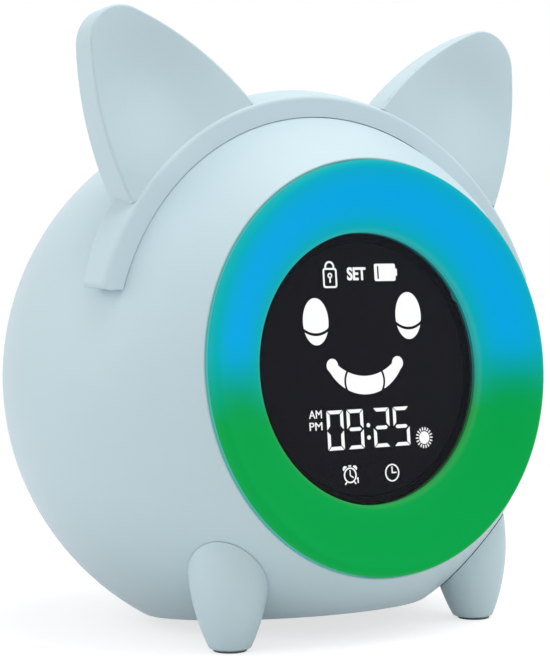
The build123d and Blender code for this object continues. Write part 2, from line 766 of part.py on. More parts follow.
def battery_holder():
    """A cradle with two end walls, screwed to the posts in the shell's floor."""
    height = cell_radius + seat_gap + holder_base + cell_radius / 2
    base = -cell_radius - seat_gap - holder_base
    cradle = Pos(0, 0, base + height / 2) * Box(holder_length, holder_depth, height)
    cradle = fillet(cradle.edges().filter_by(Axis.Z), holder_corner)
    room = Rot(0, 90, 0) * Cylinder(cell_radius + seat_gap, cell_length + 2 * contact_room)
    room += Pos(0, 0, cell_radius) * Box(cell_length + 2 * contact_room, 2 * (cell_radius + seat_gap),
                                         2 * cell_radius)
    cradle -= room
    for side in (-1, 1):
        place = Pos(side * holder_post_spread, 0, base)
        cradle -= place * Cylinder(small_screw_radius + hole_gap, 3 * holder_base)
        head_room = Cylinder(small_head_radius + run_gap, 2 * holder_base,
                             align=(Align.CENTER, Align.CENTER, Align.MIN))
        cradle -= place * Pos(0, 0, holder_base - small_head_height - head_cover) * head_room
    return cell_frame() * cradle


def battery_contacts():
    """Spring plates at the two ends of the cradle."""
    plates = []
    for side in (-1, 1):
        place = side * (cell_length / 2 + contact_room - contact_thickness / 2)
        plates.append(cell_frame() * Pos(place, 0, 0) * Box(contact_thickness, cell_radius, cell_radius))
    return Compound(children=plates)


def holder_screws():
    base = -cell_height - cell_radius - seat_gap - small_head_height - head_cover
    one = screw(small_screw_radius, small_head_radius, small_head_height, holder_screw_length)
    return Compound(children=[Pos(side * holder_post_spread, cell_back, base) * one for side in (-1, 1)])


def cover_screws():
    screws = []
    for x, z in cover_screw_places():
        screws.append(screw_along_y(screw_radius, screw_head_radius, screw_head_height, cover_screw_length,
                                    x, cover_screw_floor, z, True))
    return Compound(children=screws)


def small_screws(places, seat, length, forward):
    """A group of small screws whose heads sit on a face at seat."""
    return Compound(children=[
        screw_along_y(small_screw_radius, small_head_radius, small_head_height, length, x, seat, z, forward)
        for x, z in places])


def foot_side(low, high, side_radius):
    """A stretch of a foot's side, an arc that is upright where the foot is widest."""
    centre = foot_widest_radius - side_radius
    heights = (low, (low + high) / 2, high)
    return ThreePointArc([(centre + sqrt(side_radius**2 - (foot_widest_height - height)**2), 0, height)
                          for height in heights])


def foot(side):
    """An egg-shaped foot, tapered more below than above, whose top follows the ball."""
    low = -foot_pad_thickness
    lower_side = foot_side(low, foot_widest_height, foot_lower_side_radius)
    upper_side = foot_side(foot_widest_height, foot_top_height, foot_upper_side_radius)
    profile = make_face([
        Line((0, 0, low), lower_side @ 0), lower_side, upper_side,
        Line(upper_side @ 1, (0, 0, foot_top_height)), Line((0, 0, foot_top_height), (0, 0, low))])
    body = foot_axis(side) * revolve(profile, Axis.Z)
    body -= below(foot_pad_proud)
    sole = body.edges().sort_by(Axis.Z)[0]
    body = fillet(sole, foot_edge_round)
    body -= Pos(0, 0, centre_height) * Sphere(ball_radius + seat_gap)
    top = foot_boss_height - foot_screw_length
    hole = Cylinder(screw_radius + hole_gap, foot_boss_height, align=(Align.CENTER, Align.CENTER, Align.MIN))
    body -= foot_axis(side) * Pos(0, 0, top - run_gap) * hole
    pad_room = Cylinder(foot_pad_radius + hole_gap / 2, 2 * foot_pad_thickness)
    return body - Pos(side * foot_spread, -foot_forward, 0) * pad_room


def foot_pads():
    """Rubber discs let into the soles."""
    pad = Cylinder(foot_pad_radius, foot_pad_thickness, align=(Align.CENTER, Align.CENTER, Align.MIN))
    pad = fillet(pad.edges().sort_by(Axis.Z)[0], foot_pad_proud / 2)
    return Compound(children=[Pos(side * foot_spread, -foot_forward, 0) * pad for side in (-1, 1)])


def foot_screws():
    one = screw(screw_radius, screw_head_radius, screw_head_height, foot_screw_length)
    return Compound(children=[foot_axis(side) * Pos(0, 0, foot_boss_height) * one for side in (-1, 1)])


def rear_pads():
    """Rubber pads in the flat, cut level with the floor."""
    return Compound(children=rear_pad_bars(rear_pad_radius, 0.0))


def battery_lead():
    """From the top of the cradle's back wall up to the lower right socket of the main board."""
    back = cell_back + cell_radius + seat_gap + holder_wall / 2
    top = -cell_height + cell_radius / 2
    x, socket, z = socket_front(battery_socket)
    route = ((29, back, top), (29, back, -17), (25, 23, -12), (x, socket - 10, z), (x, socket, z))
    return lead(route, Circle(lead_diameter / 2))


def speaker_lead():
    """From the basket to the lower left socket of the main board."""
    x, socket, z = socket_front(speaker_socket)
    side = -magnet_radius - lead_diameter
    basket = magnet_back + lead_diameter / 2 - hole_gap
    route = ((side, basket, -2), (side, 36, -2), (-11.5, 27.5, -8), (x, 27.5, z), (x, socket, z))
    return lead(route, Circle(lead_diameter / 2))


def ring_lead():
    """From the ring board through the reflector's plate and back to the main board."""
    start_x, start_z = ring_lead_place()
    x, socket, z = socket_front(ring_socket)
    route = ((start_x, -plate_front, start_z), (start_x, -20, start_z), (-34, 0, 7), (-31, 18, 4),
             (x, socket - 11, z), (x, socket, z))
    return lead(route, Circle(lead_diameter / 2))


def display_ribbon():
    """Flat ribbon from the display board to the top socket of the main board."""
    start = -cup_back + board_thickness
    x, socket, z = socket_front(ribbon_socket)
    route = ((0, start, 12), (0, -14, 12), (0, 0, 22), (0, 15, 26), (x, socket - 11, z), (x, socket, z))
    return lead(route, Rectangle(ribbon_width, ribbon_thickness))


def build():
    """Every piece in the standing frame, by name."""
    outside = solid_ball()
    cavity = ball_cavity()
    leaning = {
        "front_shell": front_shell(outside, cavity),
        "rear_cover": rear_cover(outside, cavity),
        "ear_headband": ear_headband(),
        "light_ring": light_ring(),
        "ring_reflector": ring_reflector(),
        "led_ring_board": led_ring_board(),
        "ring_leds": ring_leds(),
        "display_window": display_window(),
        "display_frame": display_frame(),
        "display_module": display_module(),
        "display_board": display_board(),
        "display_ribbon": display_ribbon(),
        "switch_bodies": switch_bodies(),
        "main_board": main_board(),
        "board_parts": board_parts(),
        "usb_socket": usb_socket(),
        "speaker_frame": speaker_frame(),
        "speaker_cone": speaker_cone(),
        "speaker_magnet": speaker_magnet(),
        "speaker_gasket": speaker_gasket(),
        "battery_cell": battery_cell(),
        "battery_holder": battery_holder(),
        "battery_contacts": battery_contacts(),
        "battery_lead": battery_lead(),
        "speaker_lead": speaker_lead(),
        "ring_lead": ring_lead(),
        "holder_screws": holder_screws(),
        "cover_screws": cover_screws(),
        "ring_screws": small_screws(ring_screw_places(), -plate_back,
                                    ring_seat_place - plate_back + ring_screw_depth, True),
        "display_screws": small_screws(small_screw_places(), -cup_back + board_thickness,
                                       display_screw_length, True),
        "board_screws": small_screws(board_post_places(), board_place, board_screw_length, False),
    }
    for name, (x, z) in zip(button_names, station_places()):
        leaning["button_" + name] = button_cap(x, z)
        leaning["plunger_" + name] = plunger(x, z)
    standing = {name: piece.moved(ball_to_floor) for name, piece in leaning.items()}
    standing["foot_left"] = foot(-1)
    standing["foot_right"] = foot(1)
    standing["foot_pads"] = foot_pads()
    standing["foot_screws"] = foot_screws()
    standing["rear_pads"] = rear_pads()
    return standing


def main():
    pieces = build()
    box = Compound(children=[piece.moved(Location()) for piece in pieces.values()]).bounding_box()
    middle = Pos(-(box.min.X + box.max.X) / 2, -(box.min.Y + box.max.Y) / 2, -box.min.Z)
    os.makedirs("parts", exist_ok=True)
    for name, piece in pieces.items():
        export_step(piece.moved(middle), "parts/" + name + ".step")
    print("box", box.size, "shift", middle.position, "lift axis", lift, "ball centre height", centre_height)


main()
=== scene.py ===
"""Looks of a ball-shaped bedside alarm clock: studio, mouldings, light ring, display and insides."""
import bpy
from math import cos, pi, radians, sin
from mathutils import Matrix, Vector
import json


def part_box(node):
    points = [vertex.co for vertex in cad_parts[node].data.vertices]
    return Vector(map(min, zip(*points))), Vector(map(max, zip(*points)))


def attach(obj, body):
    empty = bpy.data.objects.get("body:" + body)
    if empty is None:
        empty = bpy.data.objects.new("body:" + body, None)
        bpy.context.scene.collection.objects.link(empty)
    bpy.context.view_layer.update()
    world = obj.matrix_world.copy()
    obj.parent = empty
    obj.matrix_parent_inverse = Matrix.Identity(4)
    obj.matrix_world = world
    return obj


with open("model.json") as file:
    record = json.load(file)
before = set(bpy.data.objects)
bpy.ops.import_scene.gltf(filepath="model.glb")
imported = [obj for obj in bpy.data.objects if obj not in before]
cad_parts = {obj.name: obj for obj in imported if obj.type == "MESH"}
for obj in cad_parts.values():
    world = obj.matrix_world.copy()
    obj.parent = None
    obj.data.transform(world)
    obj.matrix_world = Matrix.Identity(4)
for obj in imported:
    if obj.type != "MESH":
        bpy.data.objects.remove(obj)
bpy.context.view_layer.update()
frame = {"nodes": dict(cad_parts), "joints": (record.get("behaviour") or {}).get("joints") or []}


# ---------------------------------------------------------------------------------------------
# The camera: a long lens to the left of the display, a little above the middle of the ball. The
# ball has a frame of its own, in which most pieces are placed, and which leans back with it: X to
# the right of the display, Y back from the display and Z up between the ears.
mm = 0.001
window_to_middle = 36.05 * mm
joint_axes = {joint["name"]: Vector(joint["axis"]) for joint in frame["joints"]}
ball_up = joint_axes["headband_lift"].normalized()
ball_back = -joint_axes["set_press"].normalized()
ball_right = ball_back.cross(ball_up)
window_low, window_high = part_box("display_window")
ball_middle = (window_low + window_high) / 2 + ball_back * window_to_middle
ball_frame = Matrix((ball_right, ball_back, ball_up)).transposed().to_4x4()
ball_frame.translation = ball_middle

camera_from_middle = Vector((-262.044, -380.029, 25.224)) * mm
camera_forward = Vector((0.56895, 0.82175, -0.03208)).normalized()
camera_up = Vector((0.02535, 0.02147, 0.99945))
camera_lens = 112.2
camera_right = camera_forward.cross(camera_up).normalized()
camera_rise = camera_right.cross(camera_forward)
bpy.ops.object.camera_add()
camera = bpy.context.object
camera.name = "camera"
camera.data.lens = camera_lens
camera.matrix_world = Matrix((camera_right, camera_rise, -camera_forward)).transposed().to_4x4()
camera.location = ball_middle + camera_from_middle
bpy.context.scene.camera = camera


# ---------------------------------------------------------------------------------------------
# The studio: white paper that keeps a soft shadow near the clock, a white surround, and a broad
# lamp overhead with a weaker one from the left and behind. Camera, glossy and glass rays see
# white where the paper and the sky are lit less.
class Wire:
    """A socket in a material. Arithmetic on it adds Math nodes; node() adds any other node."""

    def __init__(self, tree, socket=None):
        self.tree = tree
        self.socket = socket

    def node(self, kind, settings=None, sockets=None, output=None):
        """Adds a node with its settings, then its sockets' values or links; output is a name."""
        made = self.tree.nodes.new(kind)
        settings = dict(settings or {})
        stops = settings.pop("stops", None)
        for name, setting in settings.items():
            setattr(made, name, setting)
        if stops:
            ramp = made.color_ramp
            while len(ramp.elements) < len(stops):
                ramp.elements.new(1.0)
            for element, (place, colour) in zip(ramp.elements, stops):
                element.position = place
                element.color = (*colour, 1.0)
        for name, value in (sockets or {}).items():
            socket = made.inputs[name] if isinstance(name, int) else next(
                each for each in made.inputs if each.enabled and each.name == name)
            if isinstance(value, Wire):
                self.tree.links.new(value.socket, socket)
            else:
                socket.default_value = value
        return Wire(self.tree, next(
            each for each in made.outputs if each.enabled and output in (None, each.name)))

    def math(self, operation, *values):
        """Adds a Math node."""
        return self.node("ShaderNodeMath", {"operation": operation}, dict(enumerate(values)))

    def __add__(self, other):
        return self.math("ADD", self, other)

    __radd__ = __add__

    def __mul__(self, other):
        return self.math("MULTIPLY", self, other)

    __rmul__ = __mul__

    def __sub__(self, other):
        return self.math("SUBTRACT", self, other)

    def __rsub__(self, other):
        return self.math("SUBTRACT", other, self)

    def __truediv__(self, other):
        return self.math("DIVIDE", self, other)

    def __rtruediv__(self, other):
        return self.math("DIVIDE", other, self)


def bare_material(name):
    """A material with only its output node, and the wire that its nodes start from."""
    made = bpy.data.materials.new(name)
    made.use_nodes = True
    tree = made.node_tree
    tree.nodes.clear()
    tree.nodes.new("ShaderNodeOutputMaterial")
    return made, Wire(tree)


def to_output(wire, shader, output="Material Output"):
    """Links the finished shader to the material's or the world's surface."""
    wire.tree.links.new(shader.socket, wire.tree.nodes[output].inputs["Surface"])


def mix_shaders(wire, factor, below, above):
    """The lower shader where the factor is 0 and the upper one where it is 1."""
    return wire.node("ShaderNodeMixShader", None, {0: factor, 1: below, 2: above})


def seen_mask(wire):
    """1 for camera, glossy and glass rays, 0 for the light that falls on the clock."""
    camera_ray, glossy_ray, glass_ray = [
        wire.node("ShaderNodeLightPath", output="Is " + ray + " Ray")
        for ray in ("Camera", "Glossy", "Transmission")]
    return wire.math("MAXIMUM", camera_ray, wire.math("MAXIMUM", glossy_ray, glass_ray))


pure_white = (1, 1, 1, 1)
floor_reach = 6.0
shadow_reach = 0.16        # from the clock's middle out to where the shadow begins to fade
white_reach = 0.34         # and out to where the paper is plain white
paper_colour = (0.75, 0.745, 0.748, 1)         # what lights the clock from below
seen_paper_colour = (0.40, 0.392, 0.394, 1)    # what shows the shadow, with paper_lift added
paper_lift = 0.69
bpy.ops.object.select_all(action="DESELECT")
bpy.ops.mesh.primitive_plane_add(size=2 * floor_reach)
floor = bpy.context.object
floor.name = "floor"
floor_material, wire = bare_material("floor_paper")
place = wire.node("ShaderNodeTexCoord", output="Object")
from_clock = wire.node("ShaderNodeVectorMath", {"operation": "LENGTH"}, {0: place})
plain = wire.node("ShaderNodeMapRange", {"interpolation_type": "SMOOTHSTEP"}, {
    "Value": from_clock, "From Min": shadow_reach, "From Max": white_reach})
paper = wire.node("ShaderNodeBsdfDiffuse", None, {"Color": paper_colour})
seen_paper = wire.node("ShaderNodeBsdfDiffuse", None, {"Color": seen_paper_colour})
lift = wire.node("ShaderNodeEmission", None, {"Color": pure_white, "Strength": paper_lift})
white = wire.node("ShaderNodeEmission", None, {"Color": pure_white, "Strength": 1.0})
lifted = wire.node("ShaderNodeAddShader", None, {0: seen_paper, 1: lift})
to_output(wire, mix_shaders(wire, seen_mask(wire), paper, mix_shaders(wire, plain, lifted, white)))
floor.data.materials.append(floor_material)

sky_light = 0.77
world = bpy.data.worlds.new("studio")
world.use_nodes = True
bpy.context.scene.world = world
wire = Wire(world.node_tree)
dim_sky = wire.node("ShaderNodeBackground", None, {"Color": pure_white, "Strength": sky_light})
white_sky = wire.node("ShaderNodeBackground", None, {"Color": pure_white, "Strength": 1.0})
to_output(wire, mix_shaders(wire, seen_mask(wire), dim_sky, white_sky), "World Output")


def round_lamp(name, place, width, power):
    """A broad round lamp that faces the ball."""
    bpy.ops.object.light_add(type="AREA", location=place)
    lamp = bpy.context.object
    lamp.name = name
    lamp.data.shape = "DISK"
    lamp.data.size = width
    lamp.data.energy = power
    lamp.rotation_euler = (ball_middle - Vector(place)).to_track_quat("-Z", "Y").to_euler()


round_lamp("overhead_lamp", place=(0.22, -0.20, 1.0), width=0.9, power=6.2)
round_lamp("side_lamp", place=(-0.90, 0.35, 0.30), width=0.7, power=2.0)


# ---------------------------------------------------------------------------------------------
# The ball and its feet: front shell, rear cover and two feet, injection moulded in pale blue ABS
# and screwed together. The tool's fine spark finish leaves a matte grain, and the gloss and the
# colour are very slightly uneven.
cloud_scale = 35.0
tint_swing = 0.03
gloss_swing = 0.08


def mix_colours(wire, factor, below, above, blend="MIX"):
    """The lower colour where the factor is 0, blended with the upper one where it is 1."""
    return wire.node("ShaderNodeMix", {"data_type": "RGBA", "blend_type": blend},
                     {"Factor": factor, "A": below, "B": above})


def grain(wire, scale, depth, form=None):
    """A fine moulded grain as a normal, on top of a broader form where one is given."""
    place = wire.node("ShaderNodeTexCoord", output="Object")
    noise = wire.node("ShaderNodeTexNoise", None, {"Vector": place, "Scale": scale, "Detail": 2.0})
    sockets = {"Height": noise, "Distance": depth, "Strength": 1.0}
    if form:
        sockets["Normal"] = form(wire)
    return wire.node("ShaderNodeBump", None, sockets)


def moulded(name, colour, roughness, grain_scale=2500.0, grain_depth=0.02 * mm, coat=0.0,
            metallic=0.0, form=None):
    """Moulded or pressed stock: a nearly even colour, a fine grain and slightly uneven gloss."""
    made, wire = bare_material(name)
    place = wire.node("ShaderNodeTexCoord", output="Object")
    clouds = wire.node("ShaderNodeTexNoise", None,
                       {"Vector": place, "Scale": cloud_scale, "Detail": 3.0})
    dark, pale = [(*[channel * share for channel in colour], 1)
                  for share in (1 - tint_swing, 1 + tint_swing)]
    surface = wire.node("ShaderNodeBsdfPrincipled", None, {
        "Base Color": mix_colours(wire, clouds, dark, pale),
        "Roughness": (clouds - 0.5) * gloss_swing + roughness,
        "Metallic": metallic, "Coat Weight": coat,
        "Normal": grain(wire, grain_scale, grain_depth, form)})
    to_output(wire, surface)
    return made


def dress(material, *nodes):
    """Gives CAD nodes one material."""
    for node in nodes:
        data = frame["nodes"][node].data
        data.materials.clear()
        data.materials.append(material)


shell_blue = (0.50, 0.63, 0.68)
shell_roughness = 0.48
dress(moulded("pale_blue_abs", shell_blue, shell_roughness),
      "front_shell", "rear_cover", "foot_left", "foot_right")


# ---------------------------------------------------------------------------------------------
# The headband: a tapered band with two ears, one moulding of the same ABS, held by two pegs in
# the ball's sockets. The ears' broad faces are very slightly hollow.
ear_middle_across, ear_middle_height = 41.9 * mm, 59.8 * mm
ear_hollow_reach = 19.5 * mm
ear_hollow_depth = 2.6 * mm


def places_in_ball(wire):
    """How far a point lies to the right of, behind and above the ball's middle, in its frame."""
    place = wire.node("ShaderNodeTexCoord", output="Object")
    in_ball = wire.node("ShaderNodeMapping", {"vector_type": "TEXTURE"}, {
        "Vector": place, "Location": ball_middle, "Rotation": ball_frame.to_euler()})
    return [wire.node("ShaderNodeSeparateXYZ", None, {"Vector": in_ball}, output=axis)
            for axis in "XYZ"]


def distance(across, above):
    """How far away a point is that lies so far across and above."""
    return across.math("SQRT", across * across + above * above)


def ear_hollows(wire):
    """A shallow dish in each ear, as a normal."""
    across, _, height = places_in_ball(wire)
    from_middle = distance(wire.math("ABSOLUTE", across) - ear_middle_across,
                           height - ear_middle_height)
    dish = wire.node("ShaderNodeMapRange", {"interpolation_type": "SMOOTHSTEP"}, {
        "Value": from_middle, "From Min": 0.0, "From Max": ear_hollow_reach,
        "To Min": 0.0, "To Max": ear_hollow_depth})
    return wire.node("ShaderNodeBump", None, {"Height": dish, "Distance": 1.0, "Strength": 1.0})


dress(moulded("ear_abs", shell_blue, shell_roughness, form=ear_hollows), "ear_headband")


# ---------------------------------------------------------------------------------------------
# The light ring: a satin diffuser, moulded as a shallow bowl and held by its flange inside the shell.
# Lamps light it from behind, blue above and green below. Its colour pales to teal or lime towards
# both edges as painted shading of the bowl's rounded edges. A painted highlight runs along the edges
# where the bowl meets the window and the shell, and a painted highlight of the shell's rim lies on
# the ring's outer wall.
ring_outer = 43.5 * mm
bowl_width = 14.75 * mm
ring_inner = ring_outer - bowl_width
blend_height = 40 * mm                # of the band round the middle where blue turns to green
ring_glow = 0.71
unlit_share = (0.35, 0.35, 0.35, 1)   # what the tinted diffuser shows of its colour by daylight
painted_edge_highlight = (0.045, 0.020, 0.020, 1)   # painted highlight, added along the very edges of the bowl
painted_rim_highlight = (0.09, 0.47, 0.42, 1)    # painted highlight: the shell's pale rim, lit by the ring, painted where the lit wall leaves the shell
shell_edge = -40.95 * mm              # how far forward the shell covers that wall
# Where the painted rim highlight starts and where it is full.
painted_rim_start, painted_rim_full = shell_edge - 0.35 * mm, shell_edge - 0.1 * mm
outer_wall_depth = 0.3 * mm           # of what counts as the ring's outer wall


def colours_along(value, *stops):
    """Colours at places along a value."""
    return value.node("ShaderNodeValToRGB", {"stops": stops}, {"Fac": value})


def shares_along(value, *stops):
    """Shares from 0 to 1 at places along a value."""
    return colours_along(value, *[(place, (share, share, share)) for place, share in stops])


ring_material, wire = bare_material("lit_diffuser")
across, back, height = places_in_ball(wire)
from_axis = distance(across, height)
up_the_ring = height / blend_height + 0.5
over_the_bowl = (from_axis - ring_inner) / (ring_outer - ring_inner)
middle_colour = colours_along(
    up_the_ring, (0.0, (0.002, 0.345, 0.063)), (0.20, (0.002, 0.343, 0.066)),
    (0.315, (0.002, 0.338, 0.085)), (0.40, (0.002, 0.345, 0.18)), (0.4875, (0.002, 0.365, 0.40)),
    (0.575, (0.002, 0.376, 0.645)), (0.675, (0.002, 0.376, 0.753)))
# Painted shading of the bowl's rounded edges: the glow pales to teal or lime towards both edges.
painted_edge_shade_colour = colours_along(
    up_the_ring, (0.25, (0.004, 0.352, 0.070)), (0.42, (0.004, 0.38, 0.25)),
    (0.60, (0.004, 0.412, 0.410)))
painted_edge_shade_share = shares_along(over_the_bowl, (0.0, 1.0), (0.12, 0.65), (0.25, 0.23), (0.42, 0.0),
                       (0.60, 0.0), (0.75, 0.2), (0.88, 0.5), (0.97, 0.9))
# Painted highlight along the very edges of the bowl, where it meets the window and the shell.
painted_edge_highlight_share = shares_along(over_the_bowl, (0.0, 0.6), (0.07, 0.0), (0.94, 0.0), (1.0, 0.06))
# Painted highlight of the shell's rim, lit by the ring, on the ring's outer wall just in front of the
# shell.
painted_rim_share = wire.node("ShaderNodeMapRange", None, {
    "Value": back, "From Min": painted_rim_start, "From Max": painted_rim_full})
on_outer_wall = wire.math("GREATER_THAN", from_axis, ring_outer - outer_wall_depth)
# The glow colour, with painted shading towards the edges, then painted edge and rim highlights put
# in.
glow = mix_colours(wire, painted_edge_shade_share, middle_colour, painted_edge_shade_colour)
glow = mix_colours(wire, painted_edge_highlight_share, glow, painted_edge_highlight, "ADD")
glow = mix_colours(wire, painted_rim_share * on_outer_wall, glow, painted_rim_highlight)
surface = wire.node("ShaderNodeBsdfPrincipled", None, {
    "Base Color": mix_colours(wire, 1.0, glow, unlit_share, "MULTIPLY"), "Roughness": 0.45,
    "Specular IOR Level": 0.02, "Emission Color": glow, "Emission Strength": ring_glow})
to_output(wire, surface)
dress(ring_material, "light_ring")


# ---------------------------------------------------------------------------------------------
# The window: a disc of smoked acrylic, polished in front, let into the bore of the light ring and
# held from behind by the display's cup.
window_material, wire = bare_material("smoked_acrylic")
surface = wire.node("ShaderNodeBsdfPrincipled", None, {
    "Base Color": (0.004, 0.004, 0.012, 1), "Roughness": 0.12, "Specular IOR Level": 0.20,
    "Alpha": 0.35})
to_output(wire, surface)
dress(window_material, "display_window")


# ---------------------------------------------------------------------------------------------
# The display block and its cup: dull black plastic, so that nothing but the lit segments shows
# through the window. The cup's flange is screwed to the reflector behind the light ring.
display_black, wire = bare_material("display_black")
surface = wire.node("ShaderNodeBsdfPrincipled", None, {
    "Base Color": (0.004, 0.004, 0.005, 1), "Roughness": 0.5, "Specular IOR Level": 0.2})
to_output(wire, surface)
dress(display_black, "display_module", "display_frame")


# ---------------------------------------------------------------------------------------------
# The display's plain face: two oval eyes with a lid line, and a smile with rounded ends and two
# cheek lines. Like all its marks they are thin white segments on the front of the black block,
# lit from inside. Each is drawn flat in millimetres and then stood on the block's face.
window_half_thickness = 0.8 * mm
window_to_block = 0.2 * mm
mark_depth = 0.08
tool_depth = 1.0           # how far a cutting plate reaches out of a mark on both sides
edge_count = 64            # straight edges round a disc
mark_light = 2.3
standing_drawing = Matrix.Rotation(pi / 2, 4, "X") @ Matrix.Scale(mm, 4)
block_front = window_to_middle - window_half_thickness - window_to_block
display_face = ball_frame @ Matrix.Translation((0, -block_front, 0)) @ standing_drawing
mark_material, wire = bare_material("lit_segment")
surface = wire.node("ShaderNodeBsdfPrincipled", None, {
    "Base Color": (0.02, 0.02, 0.02, 1), "Roughness": 0.5, "Emission Color": pure_white,
    "Emission Strength": mark_light})
to_output(wire, surface)


def finish_flat(x, y, turn, depth, low):
    """Gives the flat piece in hand its thickness and its place in the drawing."""
    piece = bpy.context.object
    bpy.ops.object.mode_set(mode="EDIT")
    bpy.ops.mesh.select_all(action="SELECT")
    bpy.ops.mesh.extrude_region_move(TRANSFORM_OT_translate={"value": (0, 0, depth)})
    bpy.ops.mesh.select_all(action="SELECT")
    bpy.ops.mesh.normals_make_consistent(inside=False)
    bpy.ops.object.mode_set(mode="OBJECT")
    piece.rotation_euler.z = turn
    piece.location = (x, y, low)
    bpy.ops.object.transform_apply(location=True, rotation=True, scale=True)
    return piece


def disc(x, y, wide, high=None, depth=mark_depth, low=0.0):
    """A round or oval plate."""
    bpy.ops.object.select_all(action="DESELECT")
    bpy.ops.mesh.primitive_circle_add(vertices=edge_count, radius=0.5, fill_type="NGON")
    bpy.context.object.scale = (wide, high or wide, 1)
    bpy.ops.object.transform_apply(location=False, rotation=False, scale=True)
    return finish_flat(x, y, 0.0, depth, low)


def bar(x, y, wide, high, turn=0.0, corner=0.0, steps=1, inner=1.0, depth=mark_depth, low=0.0):
    """A straight plate, with cut or rounded corners, or with a lower edge shorter than its upper."""
    bpy.ops.object.select_all(action="DESELECT")
    bpy.ops.mesh.primitive_plane_add(size=1)
    piece = bpy.context.object
    piece.scale = (wide, high, 1)
    bpy.ops.object.transform_apply(location=False, rotation=False, scale=True)
    if corner:
        bpy.ops.object.mode_set(mode="EDIT")
        bpy.ops.mesh.select_all(action="SELECT")
        bpy.ops.mesh.bevel(offset=corner, segments=steps, affect="VERTICES")
        bpy.ops.object.mode_set(mode="OBJECT")
    if inner < 1.0:
        bpy.ops.object.mode_set(mode="EDIT")
        bpy.ops.mesh.select_all(action="DESELECT")
        bpy.ops.object.mode_set(mode="OBJECT")
        for vertex in piece.data.vertices:
            vertex.select = vertex.co.y < 0
        bpy.ops.object.mode_set(mode="EDIT")
        bpy.ops.transform.resize(value=(inner, 1, 1))
        bpy.ops.object.mode_set(mode="OBJECT")
    return finish_flat(x, y, turn, depth, low)


def cutter(kind, *place, **shape):
    """The same plate, deep enough to cut right through a mark."""
    return kind(*place, depth=2 * tool_depth, low=-tool_depth, **shape)


def cut(piece, *tools, operation="DIFFERENCE"):
    """Takes the tools away from a piece, or joins them to it."""
    for tool in tools:
        bpy.ops.object.select_all(action="DESELECT")
        bpy.context.view_layer.objects.active = piece
        piece.select_set(True)
        bpy.ops.object.modifier_add(type="BOOLEAN")
        modifier = piece.modifiers[-1]
        modifier.operation = operation
        modifier.solver = "EXACT"
        modifier.object = tool
        bpy.ops.object.modifier_apply(modifier=modifier.name)
        bpy.data.objects.remove(tool)
    return piece


def hoop(x, y, width, line, **shape):
    """A thin ring of an outer width."""
    return cut(disc(x, y, width, **shape), cutter(disc, x, y, width - 2 * line))


def mark(name, *pieces, face=display_face, material=mark_material, body="clock", slot="board_white"):
    """Joins flat pieces into one mark on a face, which is the display's unless another is given."""
    bpy.ops.object.select_all(action="DESELECT")
    for piece in pieces:
        piece.select_set(True)
    bpy.context.view_layer.objects.active = pieces[0]
    if len(pieces) > 1:
        bpy.ops.object.join()
    whole_mark = pieces[0]
    whole_mark.name = name
    whole_mark.matrix_world = face
    bpy.ops.object.transform_apply(location=True, rotation=True, scale=True)
    whole_mark.data.materials.clear()
    whole_mark.data.materials.append(material)
    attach(whole_mark, body)


lid_radius, lid_line, lid_rise = 5.5, 0.6, 2.8
for name, x, y, wide, high in (("mark_eye_left", -12.25, 10.23, 6.5, 9.85),
                               ("mark_eye_right", 12.25, 11.0, 6.85, 10.1)):
    lid = cutter(hoop, x, y + lid_rise, 2 * lid_radius + lid_line, lid_line)
    mark(name, cut(disc(x, y, wide, high), lid))

smile_low = -5.4
smile_outer, smile_inner, smile_inner_low = 11.18, 11.8, -1.5
smile_end_height, smile_end_spread, smile_end_radius = 0.95, 8.62, 1.45
cheek_height, cheek_radius, cheek_line = -2.6, 4.0, 0.55
cheek_middles = ((-1, -1.5), (1, 0.8))     # the side, and where its arc's middle lies across
smile = disc(0, smile_low + smile_outer, 2 * smile_outer)
smile = cut(smile, cutter(disc, 0, smile_inner_low + smile_inner, 2 * smile_inner),
            cutter(bar, 0, smile_end_height + smile_outer, 3 * smile_outer, 2 * smile_outer))
for side in (-1, 1):
    end = disc(side * smile_end_spread, smile_end_height, 2 * smile_end_radius)
    smile = cut(smile, end, operation="UNION")
for side, middle in cheek_middles:
    cheek = cutter(hoop, middle, cheek_height, 2 * cheek_radius + cheek_line, cheek_line)
    inner_half = cutter(bar, middle - side * cheek_radius, cheek_height,
                        2 * cheek_radius, 3 * cheek_radius)
    smile = cut(smile, cut(cheek, inner_half))
mark("mark_smile", smile)


# ---------------------------------------------------------------------------------------------
# The time: four seven-segment figures with a colon, and AM and PM beside them. Each segment is a
# lit bar that narrows inwards, with a hairline gap to its neighbours.
digit_wide, digit_high, digit_line, digit_gap = 4.25, 8.3, 0.75, 0.17
digit_height = -12.55
point_flat = 0.01          # half of what a pointed or rounded end keeps flat
weld_reach = 0.001         # points of a letter that lie closer together are one
segment_places = {         # how far right and up, in half figures, and turned how far
    "a": (0, 1, 0), "d": (0, -1, pi), "f": (-1, 0.5, pi / 2), "e": (-1, -0.5, pi / 2),
    "b": (1, 0.5, -pi / 2), "c": (1, -0.5, -pi / 2)}
digit_segments = {"0": "abcdef", "9": "abcdfg", "2": "abdeg", "5": "acdfg"}


def digit(name, figure, x):
    """One figure of tapered segments, with a pointed bar across its middle."""
    pieces = []
    for segment in digit_segments[figure]:
        if segment == "g":
            pieces.append(bar(x, digit_height, digit_wide - digit_line - 2 * digit_gap, digit_line,
                              corner=digit_line / 2 - point_flat))
            continue
        right, up, turn = segment_places[segment]
        length = (digit_high / 2 if right else digit_wide) - 2 * digit_gap
        centre_x = x + right * (digit_wide - digit_line) / 2
        centre_y = digit_height + up * (digit_high if right else digit_high - digit_line) / 2
        pieces.append(bar(centre_x, centre_y, length, digit_line, turn,
                          inner=1 - 2 * digit_line / length))
    mark(name, *pieces)


